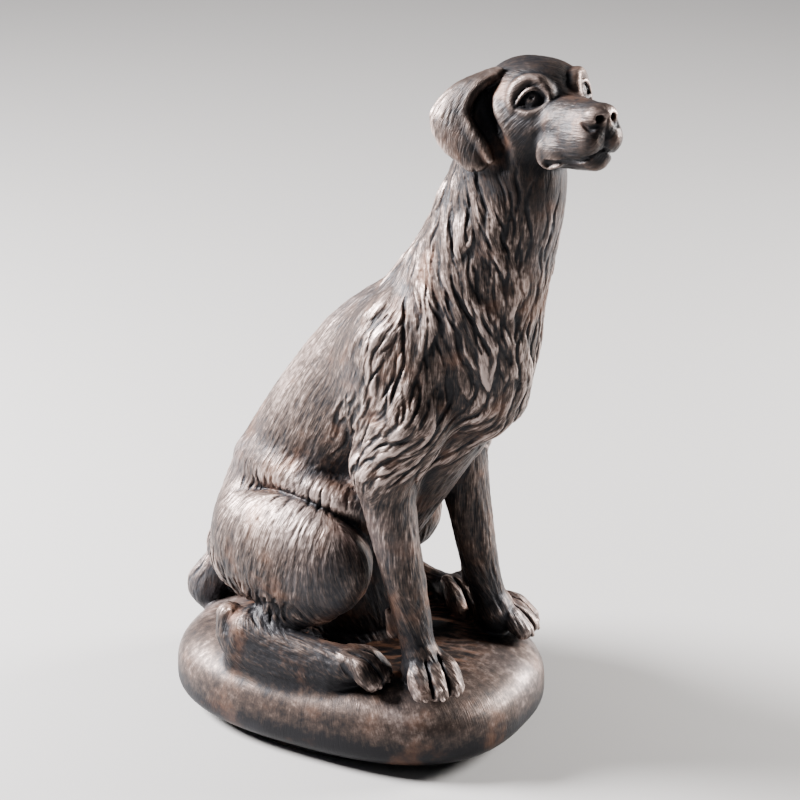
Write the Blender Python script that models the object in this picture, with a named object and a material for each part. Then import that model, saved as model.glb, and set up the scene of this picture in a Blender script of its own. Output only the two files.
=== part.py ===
# Labrador garden statue: a seated dog and the pebble-shaped base under it, cast in one piece.
# The dog faces -Y and looks a little to its right. The clay is worked in millimetres and the
# finished mesh is in metres, +Z up, with the origin in the middle of the underside.

import bpy
import numpy as np
import openvdb
from math import cos, pi, radians, sin

# Driving dimensions, in millimetres
BASE_LENGTH = 332.0
BASE_WIDTH = 245.0
BASE_TOP = 80.0
BASE_WIDEST = 27.6  # the height where the stone is widest
BASE_LOWER = 30.0  # how far it would reach down from there
BASE_AT = (-5.6, -1.5)
BASE_TURN = 7.0  # degrees, seen from above
BASE_ROUNDNESS = 3.17
BASE_CORNERS = 2.61
RIM_LENGTH = 290.0
RIM_WIDTH = 212.0
RIM_HEIGHT = 8.0
RIM_SUNK = 6.0  # how far the rim reaches up into the stone
HEAD_TURN = 27.5  # degrees to the dog's right
HEAD_LIFT = 17.0  # degrees nose up
EYES_AT = (1.0, -194.0, 610.0)

CLAY_STEP = 3.0
LOCK_STEP = 5.0  # the coarser clay that the locks are planned on
TRIANGLES = 9300
BRONZE_BROWN = (0.20, 0.15, 0.12, 1.0)

RIGHT, LEFT = -1, 1  # the dog's own sides: its right is -X

# How the coat lies: a place on the right side, and the way the hair runs there
COAT = [
    ((0, -150, 648), (0.4, 0.9, 0.1)),  # skull
    ((-35, -180, 585), (-0.1, 0.6, -0.7)),  # cheek
    ((-30, -240, 590), (0.3, 0.9, -0.2)),  # muzzle
    ((-70, -140, 590), (0, 0, -1)),  # ear
    ((-10, -185, 520), (0, 0.1, -1)),  # throat
    ((-38, -150, 520), (0, -0.35, -1)),  # side of the neck
    ((0, -85, 490), (0, 0.2, -1)),  # nape
    ((-48, -115, 440), (0, -0.45, -1)),  # root of the neck
    ((-45, -150, 390), (0.1, -0.35, -1)),  # side of the chest
    ((0, -178, 390), (0, 0.1, -1)),  # breast
    ((0, -165, 310), (0, 0.5, -1)),  # under the breast
    ((-38, -135, 300), (-0.5, 0.7, -0.6)),  # behind the breast
    ((-68, -90, 295), (-0.3, 0.9, -0.45)),  # upper arm
    ((-62, -60, 390), (-0.3, 0.3, -1)),  # shoulder blade
    ((-70, -25, 340), (-0.3, 0.6, -0.8)),  # behind the shoulder
    ((-60, -110, 360), (-0.25, -0.1, -1)),  # point of the shoulder
    ((-72, -50, 260), (0, 0.4, -1)),  # elbow
    ((-57, -80, 200), (0, 0, -1)),  # forearm
    ((-60, -110, 110), (0, -0.6, -0.8)),  # wrist
    ((0, -20, 410), (0, 0.6, -0.7)),  # withers
    ((0, 50, 320), (0, 0.7, -0.7)),  # back
    ((-64, 20, 280), (-0.1, 0.45, -0.9)),  # ribs
    ((-64, 50, 230), (0, 0.2, -1)),  # flank
    ((-95, 10, 205), (-0.3, 0.15, -1)),  # top of the thigh
    ((-108, 20, 150), (0, 0.3, -1)),  # thigh
    ((-90, -60, 150), (0.2, -0.3, -1)),  # knee
    ((0, 120, 190), (0, 0.4, -1)),  # rump
    ((-60, 95, 140), (-0.1, 0.15, -1)),  # buttock
    ((-100, 0, 90), (0.1, -1, -0.1)),  # hind foot
]

# Where it stands out in locks: centre and radii of the place on the right side, then the
# locks' length, width and spacing
FUR = [
    ((0, -122, 488), (62, 60, 72), 66, 12, 17),  # neck
    ((-20, -116, 372), (74, 82, 86), 74, 14, 18),  # breast and shoulder
    ((-66, -62, 314), (34, 60, 42), 44, 12, 16),  # upper arm
    ((-70, 26, 232), (24, 58, 6), 26, 5, 10),  # fold over the thigh
    ((-98, 38, 134), (22, 44, 9), 18, 6, 10),  # lower edge of the thigh
    ((-50, 104, 132), (56, 42, 46), 48, 10, 15),  # buttock
    ((0, 158, 100), (24, 24, 44), 40, 10, 14),  # tail
]

# Each paw on the stone: its heel, its toe tips and its size
PAWS = [
    ((-37, -83, 80), (-71, -133, 76), 1.0),
    ((59, -80, 80), (77, -122, 76), 1.0),
    ((-93, -26, 80), (-80, -76, 78), 0.92),
    ((92, -25, 80), (72, -72, 78), 0.92),
]


# A smooth curve through rows of numbers: Catmull-Rom, read at count places between two rows
def spline(points, count=6):
    rows = np.array(points, float)
    ends = np.vstack([2 * rows[0] - rows[1], rows, 2 * rows[-1] - rows[-2]])
    out = []
    for a, b, c, d in zip(ends, ends[1:], ends[2:], ends[3:]):
        for t in np.arange(count) / count:
            bend = (2 * a - 5 * b + 4 * c - d) * t**2 + (3 * b - a - 3 * c + d) * t**3
            out.append(0.5 * (2 * b + (c - a) * t + bend))
    out.append(rows[-1])
    return np.array(out)


# An ellipsoid: k is the length of (place / radii), and k * (k - 1) over its slope is the
# distance to the surface. axes are its own three directions, one a row.
def blob(centre, radii, axes=None):
    centre, radii = np.array(centre, float), np.array(radii, float)
    axes = np.eye(3) if axes is None else np.array(axes, float)
    reach = np.sqrt(((axes * radii[:, None]) ** 2).sum(0))

    def distance(x, y, z, pad):
        p = [x - centre[0], y - centre[1], z - centre[2]]
        q = [sum(p[j] * axes[i, j] for j in range(3)) / radii[i] for i in range(3)]
        k = np.sqrt(q[0] ** 2 + q[1] ** 2 + q[2] ** 2)
        g = np.sqrt(sum((q[i] / radii[i]) ** 2 for i in range(3)))
        return k * (k - 1) / np.maximum(g, 1e-6)

    return centre - reach, centre + reach, distance


# A tube along a curve with its own half-width at each point: the distance to the nearest
# stretch, less the half-width there. Given a side direction, it is wide along it and deep
# across it. Each stretch is worked out only as far as pad around it.
def tube(points, wide, deep=None, side=None, count=6):
    deep = wide if deep is None else deep
    rows = spline(np.column_stack([points, wide, deep]), count)
    rows[:, 3:] = np.maximum(rows[:, 3:], 0.2)
    reach = rows[:, 3:].max(1)[:, None]
    low, high = (rows[:, :3] - reach).min(0), (rows[:, :3] + reach).max(0)

    def distance(x, y, z, pad):
        best = np.full((x.size, y.size, z.size), 1000.0)
        for a, b in zip(rows, rows[1:]):
            far = max(a[3:].max(), b[3:].max()) + pad
            ends = zip(np.minimum(a, b)[:3] - far, np.maximum(a, b)[:3] + far)
            cut = tuple(slice(*np.searchsorted(q.ravel(), e)) for q, e in zip((x, y, z), ends))
            p = [x[cut[0]] - a[0], y[:, cut[1]] - a[1], z[:, :, cut[2]] - a[2]]
            along = b[:3] - a[:3]
            h = sum(p[i] * along[i] for i in range(3)) / max(along @ along, 1e-9)
            h = np.clip(h, 0, 1)
            p = [p[i] - h * along[i] for i in range(3)]
            w = a[3] + h * (b[3] - a[3])
            gap = np.sqrt(p[0] ** 2 + p[1] ** 2 + p[2] ** 2)
            if side is None:
                d = gap - w
            else:
                v = a[4] + h * (b[4] - a[4])
                s = sum(p[i] * side[i] for i in range(3))
                r = np.sqrt(np.maximum(gap**2 - s**2, 0))
                k = np.sqrt((s / w) ** 2 + (r / v) ** 2)
                d = (k - 1) * np.minimum(w, v)
            best[cut] = np.minimum(best[cut], d)
        return best

    return low, high, distance


# The largest joined part of a skin: each point takes the lowest name in its faces until no
# name changes, and the most used name is kept
def outer_skin(points, quads):
    name = np.arange(len(points))
    while True:
        lowest = name[quads].min(1)
        new = name.copy()
        np.minimum.at(new, quads.ravel(), np.repeat(lowest, 4))
        new = new[new]
        if (new == name).all():
            break
        name = new
    kept = name == np.bincount(name).argmax()
    order = np.cumsum(kept) - 1
    return points[kept], order[quads[kept[quads[:, 0]]]]


# A block of clay: the distance to its surface at each point of a grid, negative inside
class Clay:
    def __init__(self, low, high, step):
        self.step = step
        self.axes = [np.arange(a, b + step, step) for a, b in zip(low, high)]
        self.field = np.full([len(a) for a in self.axes], 40.0, np.float32)

    # Joins a form: the smaller of the two distances, rounded over the width called soft
    def add(self, form, soft=8.0):
        cut, new = self.around(form, soft + 3 * self.step)
        old = self.field[cut]
        h = np.maximum(soft - np.abs(new - old), 0) / soft
        self.field[cut] = np.minimum(new, old) - h**2 * soft / 4

    # Takes a form out: the larger of the old distance and the form's turned round
    def cut(self, form, soft=2.0):
        cut, new = self.around(form, soft + 3 * self.step)
        old = self.field[cut]
        h = np.maximum(soft - np.abs(-new - old), 0) / soft
        self.field[cut] = np.maximum(-new, old) + h**2 * soft / 4

    # The grid's slices around a form, and the form's distances there
    def around(self, form, pad):
        low, high, distance = form
        ends = zip(low - pad, high + pad)
        cut = tuple(slice(*np.searchsorted(a, e)) for a, e in zip(self.axes, ends))
        x, y, z = (a[c] for a, c in zip(self.axes, cut))
        return cut, distance(x[:, None, None], y[None, :, None], z[None, None, :], pad)

    def cut_below(self, height):
        z = self.axes[2][None, None, :]
        self.field = np.maximum(self.field, height - z).astype(np.float32)

    # The distance at each point, from the eight corners of its cell
    def read(self, points):
        spots = [(points[:, i] - a[0]) / self.step for i, a in enumerate(self.axes)]
        first = [np.clip(q.astype(int), 0, len(a) - 2) for q, a in zip(spots, self.axes)]
        part = [q - i for q, i in zip(spots, first)]
        total = 0
        for corner in np.ndindex(2, 2, 2):
            share = 1
            for i in range(3):
                share = share * (part[i] if corner[i] else 1 - part[i])
            i, j, k = (first[n] + corner[n] for n in range(3))
            total = total + share * self.field[i, j, k]
        return total

    # The direction straight out of the clay: the slope of the distance
    def outward(self, points, reach=4.0):
        steps = reach * np.eye(3)
        slope = np.column_stack([self.read(points + d) - self.read(points - d) for d in steps])
        return slope / np.maximum(np.linalg.norm(slope, axis=1), 1e-9)[:, None]

    # The skin of the clay as points and four-sided faces
    def skin(self):
        grid = openvdb.FloatGrid(40.0)
        grid.copyFromArray(self.field)
        points, quads = grid.convertToQuads(0.0)
        places = [np.interp(points[:, i], np.arange(len(a)), a) for i, a in enumerate(self.axes)]
        return outer_skin(np.column_stack(places), quads)


# The stone: the sum of |across|^BASE_CORNERS and |along|^BASE_CORNERS gives its oval, and the oval and
# the height, each raised to BASE_ROUNDNESS, give its rounded side, widest at the height BASE_WIDEST
def pebble():
    turn = radians(BASE_TURN)
    top, widest = BASE_TOP, BASE_WIDEST

    def distance(x, y, z, pad):
        dx, dy = x - BASE_AT[0], y - BASE_AT[1]
        u = np.abs(cos(turn) * dx + sin(turn) * dy) * 2 / BASE_WIDTH
        v = np.abs(cos(turn) * dy - sin(turn) * dx) * 2 / BASE_LENGTH
        oval = (u ** BASE_CORNERS + v ** BASE_CORNERS) ** (1 / BASE_CORNERS)
        half = np.where(z > widest, top - widest, BASE_LOWER)
        high = np.abs(z - widest) / half
        k = (oval ** BASE_ROUNDNESS + high ** BASE_ROUNDNESS) ** (1 / BASE_ROUNDNESS)
        return (k - 1) * (top - widest)

    middle, reach = np.array(BASE_AT), np.array([BASE_WIDTH, BASE_LENGTH]) / 1.8
    return np.append(middle - reach, 0), np.append(middle + reach, top), distance


# The head's forward, left and up directions, from its turn to the right and its lift
def head_ways():
    turn, lift = radians(HEAD_TURN), radians(HEAD_LIFT)
    forward = np.array([-sin(turn) * cos(lift), -cos(turn) * cos(lift), sin(lift)])
    across = np.array([cos(turn), -sin(turn), 0.0])
    return forward, across, np.cross(forward, across)


# A place on the head, so many millimetres forward, left and up of the point between the eyes
def on_head(f, l, u):
    forward, across, up = head_ways()
    return np.array(EYES_AT) + f * forward + l * across + u * up


# A place on an eye: a runs along the eye towards the ear, b up and d out of the face
def on_eye(side, a, b, d):
    return on_head(-0.5 * a + 0.866 * d, side * (24 + 0.866 * a + 0.5 * d), b)


def model_body(clay):
    x = (1.0, 0.0, 0.0)
    spine = [(0, 108, 128), (0, 78, 200), (0, 30, 268), (0, -28, 325), (0, -82, 378)]
    spine += [(0, -117, 430), (0, -137, 482), (0, -150, 530), (-3, -154, 575)]
    wide = [60, 62, 61, 61, 58, 51, 44, 38, 32]
    deep = [46, 52, 59, 71, 65, 61, 55, 50, 40]
    clay.add(tube(spine, wide, deep, x, 10), 10)
    clay.add(blob((0, -122, 374), (44, 49, 84)), 26)
    clay.add(tube([(0, -80, 290), (0, -20, 205), (0, 40, 120)], [42, 46, 50]), 20)
    clay.add(blob((-6, 2, 108), (46, 46, 60)), 16)


def model_haunch(clay, side):
    roll = [(side * 42, 92, 234), (side * 60, 40, 236), (side * 59, -12, 226), (side * 46, -36, 212)]
    clay.add(tube(roll, [8, 13, 12, 8]), 20)
    back = 0 if side == RIGHT else 21
    clay.add(blob((side * 72, 22 + back, 166), (37, 76, 58)), 2)
    clay.add(blob((side * 60, back - 14, 168), (28, 34, 34)), 12)
    clay.add(blob((side * 48, 78, 160), (44, 42, 60)), 16)
    clay.add(tube([(side * 78, back - 10, 128), (side * 96, 56, 98)], [15, 14]), 8)
    foot = [(side * 102, 50, 98), (side * 98, 2, 91), (side * 90, -46, 87)]
    if side == LEFT:
        foot = [(100, 50, 95), (93, 2, 85), (88, -46, 82)]
    clay.add(tube(foot, [18, 16, 16] if side == RIGHT else [16, 11, 12]), 7)
    clay.add(tube([(side * 102, 70, 106), (side * 104, 66, 92)], [12, 15]), 3)


def model_foreleg(clay, side):
    splay = 3 if side == LEFT else 0
    clay.add(blob((side * 48, -68, 350), (29, 46, 66)), 24)
    clay.add(tube([(side * 50, -92, 325), (side * 57, -66, 270)], [31, 27]), 16)
    leg = [(side * 56, -62, 268), (side * 55, -74, 210), (side * 53 + splay / 2, -88, 148)]
    leg += [(side * 54 + splay, -97, 112), (side * 56 + splay, -104, 96)]
    clay.add(tube(leg, [26, 21, 17, 15, 17]), 12)
    heel = [(side * 58 + splay / 2, -72, 132), (side * 58 + splay / 2, -76, 116)]
    clay.add(tube(heel, [5, 7]), 4)


# A place on a paw, so far forward, aside and up of its middle at its full size
def on_paw(paw, forward, aside, up):
    heel, toe = (np.array(place, float) for place in paw[:2])
    ahead = (toe - heel) / np.linalg.norm(toe - heel)
    across = np.array([-ahead[1], ahead[0], 0.0])
    return (heel + toe) / 2 + (ahead * forward + across * aside + np.array([0, 0, up])) * paw[2]


# A paw is a low round with four toes
def model_paw(clay, paw):
    size = paw[2]
    clay.add(blob(on_paw(paw, 0, 0, 8), (19 * size, 23 * size, 13 * size)), 8)
    for i in (-1.5, -0.5, 0.5, 1.5):
        reach = 31 - 3.5 * abs(i)
        toes = [on_paw(paw, -6, 6.5 * i, 19), on_paw(paw, 12, 9.5 * i, 15)]
        toes += [on_paw(paw, reach - 8, 11 * i, 9), on_paw(paw, reach, 11.3 * i, 2)]
        clay.add(tube(toes, np.array([6, 7.9, 7.9, 6.6]) * size), 2)


def model_tail(clay):
    tail = [(-6, 118, 136), (-11, 142, 106), (-16, 166, 74), (-2, 162, 60), (40, 146, 64)]
    tail.append((70, 126, 72))
    clay.add(tube(tail, [18, 16, 17, 15, 12, 8]), 8)


# The skull, the deep square muzzle with its hanging lips, and the chin
def model_head(clay):
    axes = np.array(head_ways())
    across = axes[1]
    clay.add(blob(on_head(-50, 0, -6), (52, 37, 37), axes), 12)
    clay.add(blob(on_head(-22, 0, 1), (30, 34, 25), axes), 10)
    bridge = [on_head(-12, 0, -20), on_head(20, 0, -23), on_head(52, 0, -25)]
    clay.add(tube(bridge, [28, 23, 17], [21, 20, 17], across), 10)
    jaw = [on_head(-24, 0, -44), on_head(12, 0, -51), on_head(46, 0, -54)]
    clay.add(tube(jaw, [22, 15, 11.5], [14, 10, 8.5], across), 3)
    clay.add(blob(on_head(62, 0, -19), (12, 14, 10), axes), 3)
    for side in (RIGHT, LEFT):
        clay.add(blob(on_head(-26, side * 22, -22), (26, 15, 26), axes), 10)
        clay.add(blob(on_head(37, side * 9.5, -37), (31, 14, 16), axes), 8)
        clay.add(blob(on_head(14, side * 19, -43), (18, 10, 13), axes), 6)
    for side in (RIGHT, LEFT):
        model_eye(clay, side)
        mouth = [on_head(64, 0, -50), on_head(58, side * 12, -53), on_head(42, side * 20, -56)]
        mouth += [on_head(18, side * 27, -56)]
        clay.cut(tube(lay_on(clay, mouth, -0.5), [1.8, 1.8, 2.0, 2.6]), 1)
    model_ears(clay)


# The given places moved onto the surface of the clay, then lifted out of it
def lay_on(clay, places, lift):
    spots = np.array(places, float)
    for again in range(3):
        out = clay.outward(spots)
        spots = spots - out * clay.read(spots)[:, None]
    return spots + out * np.reshape(lift, (-1, 1))


# The raised round of the eye: a heavy fold over the ball, a bag under it, and the hollow between
def model_eye(clay, side):
    fold = [(19, -6, 0), (20, 3, 0), (15, 12, 0), (6, 16, 0), (-3, 15, 0), (-9.5, 9.5, 0)]
    fold += [(-12.5, 0, 0), (-13, -8, 0)]
    fold = lay_on(clay, [on_eye(side, *p) for p in fold], [-1.5, -1.5, -0.8, 0.3, 1, 1, 0, -1.5])
    bag = [(-13, -8, 0), (-6, -13, 0), (3, -13, 0), (11, -10, 0)]
    bag = lay_on(clay, [on_eye(side, *p) for p in bag], -1.5)
    socket = [(11, -4, 0), (0, -1.5, 0), (-10, -4, 0)]
    socket = lay_on(clay, [on_eye(side, *p) for p in socket], [2, 1, 2])
    ball = lay_on(clay, [on_eye(side, 0, -0.8, 0)], -10)[0]
    clay.add(tube(fold, [2.5, 4, 5, 5, 4.2, 3.2, 2.8, 2.2]), 5)
    clay.add(tube(bag, [2.2, 3, 3.2, 2.2]), 4)
    clay.cut(tube(socket, [3.5, 8, 3.5]), 2.5)
    clay.add(blob(ball, (10, 10, 10)), 1)


# Folded ears: each leaves the skull on a ridge and hangs to a round tip. The head is turned,
# so the right ear rests out on the neck and the left one lies along the cheek.
def model_ears(clay):
    forward, across, up = head_ways()
    flap = [on_head(-40, -33, 21), on_head(-51, -54, 12), on_head(-58, -69, -7), on_head(-51, -67, -29)]
    flap += [on_head(-43, -60, -49)]
    facing = 0.83 * forward + 0.56 * across
    clay.add(tube(flap, [10, 16, 18, 19, 11], [5, 6, 7, 7, 6], facing, 14), 2)
    hollow = [on_head(-34, -38, 14), on_head(-38, -46, 4), on_head(-36, -48, -10), on_head(-27, -46, -28)]
    hollow += [on_head(-23, -45, -44), on_head(-24, -46, -54)]
    clay.cut(tube(hollow, [2, 6, 7.5, 6, 4, 2]), 8)
    edge = [on_head(-36, -34, 19), on_head(-43, -51, 10), on_head(-46, -61, -6), on_head(-40, -60, -20)]
    edge += [on_head(-33, -56, -34), on_head(-30, -53, -46)]
    clay.add(tube(edge, [4, 4.5, 4.5, 4.5, 4.5, 3]), 3)

    flap = [on_head(-48, 29, 12), on_head(-57, 40, 6), on_head(-61, 47, -9), on_head(-58, 46, -31)]
    flap += [on_head(-50, 42, -50)]
    facing = 0.95 * forward - 0.3 * across
    clay.add(tube(flap, [9, 16, 21, 19, 11], [5, 7, 8, 8, 6], facing, 14), 2)
    hollow = [on_head(-34, 38, 2), on_head(-36, 39, -18), on_head(-36, 36, -44)]
    clay.cut(tube(hollow, [3, 4, 4]), 4)


# The way the hair runs at each point: the mean of the combed places, each weighed by its
# nearness to the fourth power, mirrored on the left side
def coat_way(points):
    mirrored = np.column_stack([-np.abs(points[:, 0]), points[:, 1:]])
    places, ways = (np.array(rows, float) for rows in zip(*COAT))
    gap = ((mirrored[:, None] - places) ** 2).sum(2)
    share = 1 / (gap + 15**2) ** 2
    way = share @ ways / share.sum(1)[:, None]
    way[:, 0] *= np.clip(-points[:, 0] / 12, -1, 1)
    return way


# Points picked from the given ones so that no two are nearer than the spacing
def scatter(points, spacing, dice):
    kept = np.empty((0, 3))
    for p in points[dice.permutation(len(points))]:
        if not len(kept) or ((kept - p) ** 2).sum(1).min() > spacing**2:
            kept = np.vstack([kept, p])
    return kept


# Paths over the clay along its coat, one from each root, that swing a little from side to side
def comb_paths(clay, roots, length, dice, steps=7):
    spots, paths, outs = roots, [], []
    phase, bends = dice.uniform(0, 2 * pi, len(roots)), dice.uniform(1.3, 2.4, len(roots))
    stretch = (length * dice.uniform(0.7, 1.25, len(roots)) / steps)[:, None]
    for i in range(steps):
        out = clay.outward(spots)
        spots = spots - out * clay.read(spots)[:, None]
        way = coat_way(spots)
        way -= out * (way * out).sum(1)[:, None]
        way /= np.linalg.norm(way, axis=1)[:, None]
        swing = (0.5 * np.sin(phase + bends * pi * i / steps))[:, None]
        paths.append(spots)
        outs.append(out)
        spots = spots + (way * np.cos(swing) + np.cross(out, way) * np.sin(swing)) * stretch
    return np.stack(paths, 1), np.stack(outs, 1)


# The points of a skin that lie in an oval place, or in its mirror image
def in_place(skin, centre, radii):
    mirrored = np.column_stack([-np.abs(skin[:, 0]), skin[:, 1:]])
    return (((mirrored - centre) / radii) ** 2).sum(1) < 1


# The locks of fur, each a path, the directions out and across along it, and a half-width
def plan_locks(clay):
    dice = np.random.default_rng(5)
    skin = clay.skin()[0]
    locks = []
    for centre, radii, length, width, spacing in FUR:
        roots = scatter(skin[in_place(skin, centre, radii)], spacing, dice)
        paths, outs = comb_paths(clay, roots, length, dice)
        for path, out in zip(paths, outs):
            across = np.cross(out, np.gradient(path, axis=0))
            across /= np.linalg.norm(across, axis=1)[:, None]
            locks.append((path, out, across, width * dice.uniform(0.65, 1.3) / 2))
    return locks


# A lock is a flat tapered tube with its root sunk in the clay and its tip over the next root
def lock_form(path, out, across, size):
    rise = size * np.array([-0.7, -0.3, -0.1, 0.1, 0.2, 0.2, 0.1])
    wide = size * np.array([0.4, 0.75, 1.0, 1.0, 0.8, 0.5, 0.15])
    return tube(path + out * rise[:, None], wide, wide * 0.7, across[3], 2)


# The statue's smooth forms, without its locks of fur
def block_in(step):
    clay = Clay((-140, -300, -6), (140, 200, 670), step)
    clay.add(pebble(), 1)
    clay.cut_below(RIM_HEIGHT - 2)
    model_body(clay)
    for side in (RIGHT, LEFT):
        model_foreleg(clay, side)
        model_haunch(clay, side)
    model_tail(clay)
    for paw in PAWS:
        model_paw(clay, paw)
    model_head(clay)
    return clay


def sculpt():
    clay = block_in(CLAY_STEP)
    for lock in plan_locks(block_in(LOCK_STEP)):
        clay.add(lock_form(*lock), 1.5)
    return clay


# The statue's antique brown finish
def bronze():
    material = bpy.data.materials.new("antique_bronze")
    material.use_nodes = True
    shader = material.node_tree.nodes["Principled BSDF"]
    shader.inputs["Base Color"].default_value = BRONZE_BROWN
    shader.inputs["Roughness"].default_value = 0.45
    shader.inputs["Metallic"].default_value = 0.25
    return material


# Keeps about the wished number of triangles, most of them where the form turns
def thin_out(statue):
    triangles = 2 * len(statue.data.polygons)
    thin = statue.modifiers.new("thin", "DECIMATE")
    thin.ratio = TRIANGLES / triangles


# The low oval rim that the base stands on, set in a little under the stone's edge
def foot_rim(collection):
    bpy.ops.mesh.primitive_cylinder_add(vertices=96, radius=0.5, depth=1.0)
    rim = bpy.context.active_object
    rim.name = "foot_rim"
    size = (RIM_WIDTH * 0.001, RIM_LENGTH * 0.001, (RIM_HEIGHT + RIM_SUNK) * 0.001)
    for vertex in rim.data.vertices:
        vertex.co = [vertex.co[i] * size[i] for i in range(3)]
    rim.location.z = size[2] / 2
    rim.rotation_euler.z = radians(BASE_TURN)
    rim.hide_render = True
    rim.display_type = "WIRE"
    rim.users_collection[0].objects.unlink(rim)
    collection.objects.link(rim)
    return rim


def main():
    for old in list(bpy.data.objects):
        bpy.data.objects.remove(old, do_unlink=True)
    work = bpy.data.collections.new("labrador_garden_statue")
    cutters = bpy.data.collections.new("joined_forms")
    bpy.context.scene.collection.children.link(work)
    bpy.context.scene.collection.children.link(cutters)

    points, quads = sculpt().skin()
    points = (points - [BASE_AT[0], BASE_AT[1], 0]) * 0.001
    mesh = bpy.data.meshes.new("labrador_statue")
    mesh.from_pydata(points.tolist(), [], quads.tolist())
    mesh.shade_smooth()
    mesh.materials.append(bronze())
    statue = bpy.data.objects.new("labrador_statue", mesh)
    work.objects.link(statue)

    thin_out(statue)
    join = statue.modifiers.new("foot_rim", "BOOLEAN")
    join.operation = "UNION"
    join.solver = "EXACT"
    join.object = foot_rim(cutters)


if __name__ == "__main__":
    main()
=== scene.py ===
# The finished look of the labrador garden statue: the carved surface of the cast dog and stone,
# and the antique bronze patina on it. Forms are worked in millimetres as distances on a grid
# and skinned; the last step moves them into the frame's metres.
import time
import bmesh
import bpy
import numpy as np
import openvdb
from math import cos, pi, radians, sin
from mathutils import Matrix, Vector


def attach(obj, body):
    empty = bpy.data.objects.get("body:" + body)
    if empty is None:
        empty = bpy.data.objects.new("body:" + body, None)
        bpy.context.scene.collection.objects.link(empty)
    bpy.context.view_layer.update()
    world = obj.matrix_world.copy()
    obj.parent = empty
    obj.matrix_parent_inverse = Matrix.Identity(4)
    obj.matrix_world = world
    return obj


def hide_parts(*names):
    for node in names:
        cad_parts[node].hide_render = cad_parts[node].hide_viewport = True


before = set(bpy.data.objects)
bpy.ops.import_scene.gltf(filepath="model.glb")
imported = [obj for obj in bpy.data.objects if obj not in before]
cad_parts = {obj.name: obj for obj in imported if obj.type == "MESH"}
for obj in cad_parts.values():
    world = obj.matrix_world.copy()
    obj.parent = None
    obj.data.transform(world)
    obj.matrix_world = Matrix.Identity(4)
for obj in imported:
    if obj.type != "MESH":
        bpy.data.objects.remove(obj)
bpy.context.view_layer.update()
startTime = time.time()

finish = {
    "step": 1.1,  # the fine grid, in millimetres
    "planStep": 5.0,  # the coarser grid that the locks are planned on
    "triangles": 930000,  # in all the pieces together
    "hairLength": 14.0,
    "hairWidth": 2.3,
    "hairDepth": 0.24,
    "pieces": ["labradorStone", "labradorFeet", "labradorHaunches", "labradorBody", "labradorChest",
               "labradorHead"],
    "cuts": [94.0, 148.0, 240.0, 330.0, 442.0],  # the heights where the pieces meet
    "ends": (-10.0, 700.0),  # under and over the whole statue
    "hollows": (3.0, 7.0, 20.0),  # the three sizes of form that the patina tells apart
    "cells": 700,  # patches of hair strokes in each of the three sets
    "cellBorder": 9.0,  # how far a patch fades
    "cellTurn": 30.0,  # millimetres that a patch would rather go than turn a corner
    "frameShift": (5.6, 1.5, 0.0),  # from the clay's place to the frame's, in millimetres
}


def say(text):
    print("%5.1f s  %s" % (time.time() - startTime, text))


# Directions at length one
def unit(rows):
    return rows / np.maximum(np.linalg.norm(rows, axis=1), 1e-9)[:, None]


# A smooth curve through rows of numbers: Catmull-Rom, read at count places between two rows
def spline(points, count=6):
    rows = np.array(points, float)
    ends = np.vstack([2 * rows[0] - rows[1], rows, 2 * rows[-1] - rows[-2]])
    out = []
    for a, b, c, d in zip(ends, ends[1:], ends[2:], ends[3:]):
        for t in np.arange(count) / count:
            bend = (2 * a - 5 * b + 4 * c - d) * t**2 + (3 * b - a - 3 * c + d) * t**3
            out.append(0.5 * (2 * b + (c - a) * t + bend))
    out.append(rows[-1])
    return np.array(out)


# An ellipsoid: k is the length of (place / radii), and k * (k - 1) over its slope is the
# distance to the surface. axes are its own three directions, one a row.
def blob(centre, radii, axes=None):
    centre, radii = np.array(centre, float), np.array(radii, float)
    axes = np.eye(3) if axes is None else np.array(axes, float)
    reach = np.sqrt(((axes * radii[:, None]) ** 2).sum(0))

    def distance(x, y, z, pad):
        p = [x - centre[0], y - centre[1], z - centre[2]]
        q = [sum(p[j] * axes[i, j] for j in range(3)) / radii[i] for i in range(3)]
        k = np.sqrt(q[0] ** 2 + q[1] ** 2 + q[2] ** 2)
        g = np.sqrt(sum((q[i] / radii[i]) ** 2 for i in range(3)))
        return k * (k - 1) / np.maximum(g, 1e-6)

    return centre - reach, centre + reach, distance


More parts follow.
